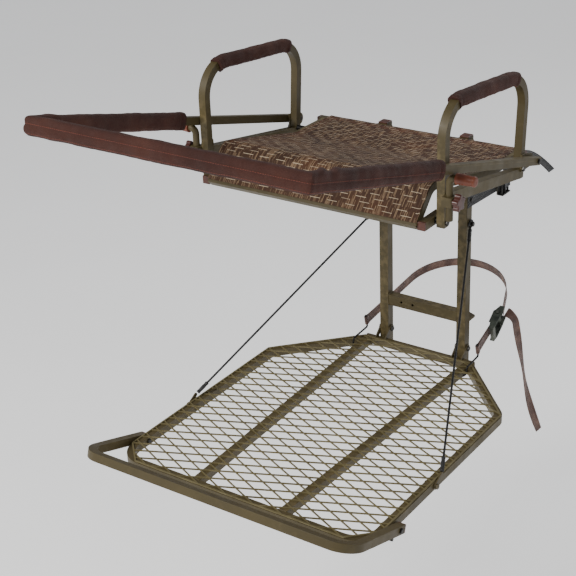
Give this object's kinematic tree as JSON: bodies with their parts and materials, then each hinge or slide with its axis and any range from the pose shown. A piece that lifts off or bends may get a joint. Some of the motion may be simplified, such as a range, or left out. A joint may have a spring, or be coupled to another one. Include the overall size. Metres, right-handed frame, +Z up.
{
  "type": "hang-on tree stand",
  "caption": "Folding hang-on hunting stand with mesh platform, flip-up footrest, sling seat, padded armrests and padded shooting rail, strapped to a trunk.",
  "frame": {"origin": "on the tree-contact plane, mid-width, level with the platform frame's mid-plane", "axes": "+X to the user's left when facing away from the tree (viewer's right in the front view), +Y into the tree, +Z up; the user's side is -Y"},
  "size_m": [0.784, 1.3202, 1.1194],
  "materials": {
    "frame_paint": "satin olive powder coat",
    "cap_red": "moulded orange-brown plastic",
    "knob_plastic": "moulded brown-red plastic",
    "black_plastic": "moulded",
    "black_steel": "black oxide",
    "cable": "black coated wire rope",
    "sling_fabric": "woven sling with pale flecks",
    "pad_fabric": "padded sleeve",
    "web_brown": "woven webbing",
    "web_black": "woven webbing",
    "buckle_steel": "dark grey-green zinc"
  },
  "bodies": {
    "post": {"post_left": "frame_paint", "post_right": "frame_paint", "cross_bar_low": "frame_paint", "cross_bar_top": "frame_paint", "tree_brackets": "frame_paint", "post_caps": "cap_red", "post_bolts": "black_steel", "cable_left": "cable", "cable_right": "cable", "cable_sleeves_top": "black_steel", "strap_low": "web_brown", "strap_ends": "web_brown", "strap_tail": "web_brown", "strap_top": "web_black", "buckle_top": "buckle_steel", "strap_tip": "web_black", "ratchet_body": "buckle_steel"},
    "platform": {"front_rail": "frame_paint", "rear_member": "frame_paint", "side_rail_left": "frame_paint", "side_rail_right": "frame_paint", "stringers": "frame_paint", "fold_lugs": "frame_paint", "deck_mesh": "frame_paint", "footrest_hardware": "black_steel", "cable_anchors": "frame_paint", "cable_sleeves_low": "black_steel", "hooks": "black_steel"},
    "footrest": {"footrest_arm_left": "frame_paint", "footrest_arm_right": "frame_paint", "footrest_bar": "frame_paint", "footrest_plugs": "cap_red"},
    "seat": {"seat_rear_tube": "frame_paint", "seat_front_tube": "frame_paint", "seat_side_left": "frame_paint", "seat_side_right": "frame_paint", "seat_stubs": "frame_paint", "seat_caps": "cap_red", "seat_lugs": "frame_paint", "sling": "sling_fabric", "hoop_left": "frame_paint", "hoop_right": "frame_paint", "arm_links": "frame_paint", "hoop_pads": "pad_fabric", "rail_ears": "frame_paint", "seat_bolts": "black_steel", "support_clamps": "frame_paint"},
    "rail": {"rail_arm_left": "frame_paint", "rail_arm_right": "frame_paint", "rail_bar": "frame_paint", "rail_pad": "pad_fabric"},
    "support_l": {"support_left": "frame_paint", "support_grip_left": "cap_red"},
    "support_r": {"support_right": "frame_paint", "support_grip_right": "cap_red"},
    "knob_l": {"knob_left": "knob_plastic"},
    "knob_r": {"knob_right": "knob_plastic"},
    "ratchet_spool": {"ratchet_spool": "buckle_steel"},
    "ratchet_handle": {"ratchet_handle": "buckle_steel"}
  },
  "joints": [
    {"name": "platform_fold", "type": "hinge", "parent": "post", "child": "platform", "pos_m": [0, -0.037, 0.03], "axis": [-1, 0, 0], "range_deg": [0, 82], "deforming": ["cable_left", "cable_right", "strap_ends"]},
    {"name": "seat_fold", "type": "hinge", "parent": "post", "child": "seat", "pos_m": [0, -0.037, 0.595], "axis": [-1, 0, 0], "range_deg": [0, 75]},
    {"name": "footrest_flip", "type": "hinge", "parent": "platform", "child": "footrest", "pos_m": [0, -0.79, 0], "axis": [-1, 0, 0], "range_deg": [0, 150]},
    {"name": "rail_flip", "type": "hinge", "parent": "seat", "child": "rail", "pos_m": [0, -0.12, 0.612], "axis": [-1, 0, 0], "range_deg": [0, 80]},
    {"name": "support_slide_l", "type": "slide", "parent": "seat", "child": "support_l", "axis": [0, 0, 1], "range_m": [-0.018, 0]},
    {"name": "support_slide_r", "type": "slide", "parent": "seat", "child": "support_r", "axis": [0, 0, 1], "range_m": [-0.018, 0]},
    {"name": "knob_turn_l", "type": "hinge", "parent": "seat", "child": "knob_l", "pos_m": [-0.353, -0.526, 0.652], "axis": [-1, 0, 0], "continuous": true},
    {"name": "knob_turn_r", "type": "hinge", "parent": "seat", "child": "knob_r", "pos_m": [0.353, -0.526, 0.652], "axis": [1, 0, 0], "continuous": true},
    {"name": "ratchet_spool_turn", "type": "hinge", "parent": "post", "child": "ratchet_spool", "pos_m": [0.161, 0.074, 0.0785], "axis": [0, -0.2425, 0.9701], "continuous": true},
    {"name": "ratchet_handle_swing", "type": "hinge", "parent": "post", "child": "ratchet_handle", "pos_m": [0.161, 0.074, 0.0785], "axis": [0, -0.2425, 0.9701], "range_deg": [0, 60]}
  ],
  "couplings": [
    {"joint": "seat_fold", "follows": "platform_fold", "ratio": 0.91463}
  ]
}
